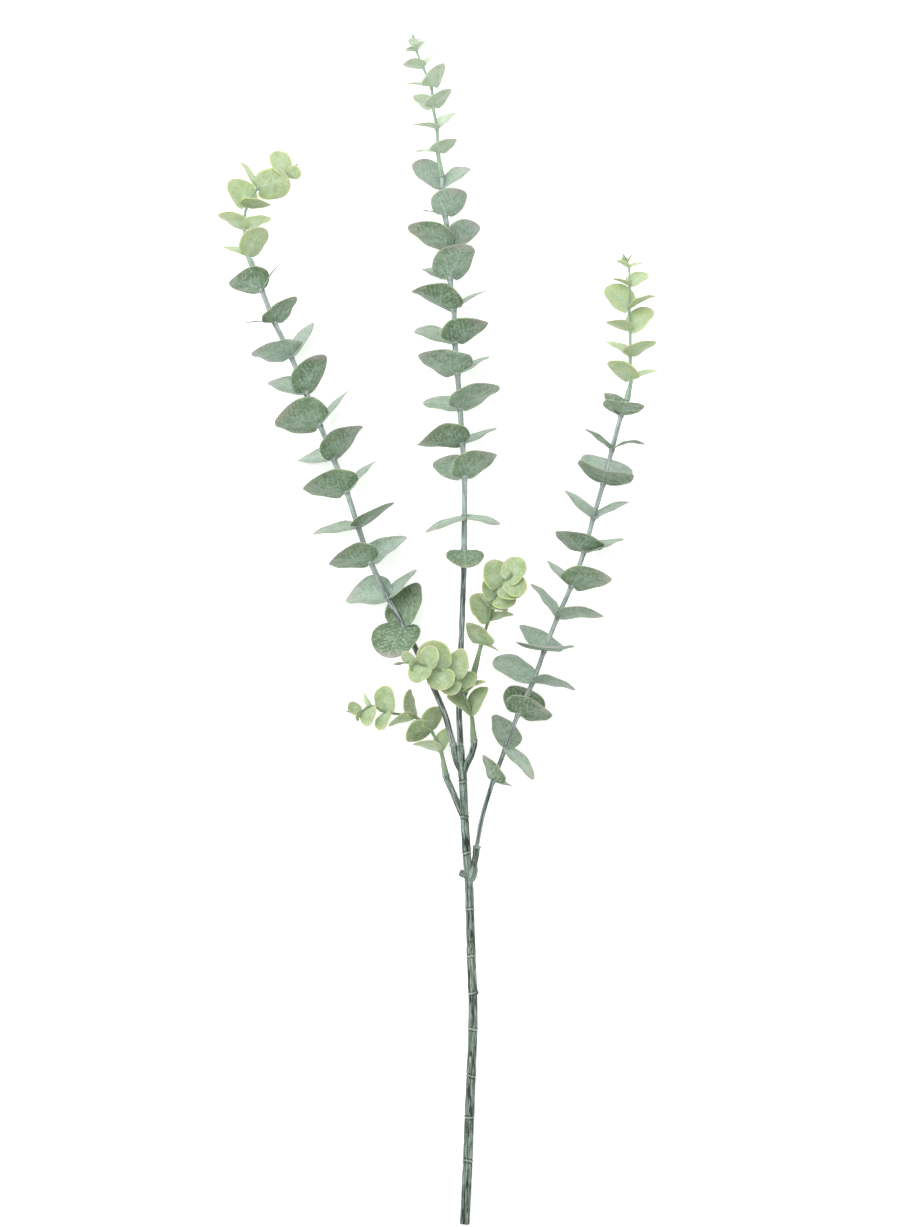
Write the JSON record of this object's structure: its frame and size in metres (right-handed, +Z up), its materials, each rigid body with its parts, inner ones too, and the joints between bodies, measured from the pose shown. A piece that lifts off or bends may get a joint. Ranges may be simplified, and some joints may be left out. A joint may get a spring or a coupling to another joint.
{
  "type": "eucalyptus branch",
  "caption": "Moulded eucalyptus branch lying flat: a ringed stem that forks into arching leafy fronds with round paired leaves and paler plugged-on sprigs.",
  "frame": {"origin": "bottom centre of the bounding box, on the surface that the branch lies on", "axes": "+Y from the cut end of the stem to the leafy tips, +X to the right as one looks down on the branch, +Z up"},
  "size_m": [0.3509, 0.9528, 0.0727],
  "materials": {
    "stem_green": "dull green-grey with dark grooves and pale rings",
    "grey_green_leaf": "mottled grey-green with a pale powdery bloom",
    "yellow_green_leaf": "pale yellow-green with lighter rims"
  },
  "bodies": {
    "root": {"main_stem": "stem_green", "left_frond": "grey_green_leaf", "centre_frond": "grey_green_leaf", "right_frond": "grey_green_leaf", "left_tip": "yellow_green_leaf", "centre_tip": "yellow_green_leaf", "right_tip": "yellow_green_leaf", "left_shoot": "yellow_green_leaf", "front_shoot": "yellow_green_leaf", "right_shoot": "yellow_green_leaf"}
  },
  "joints": []
}
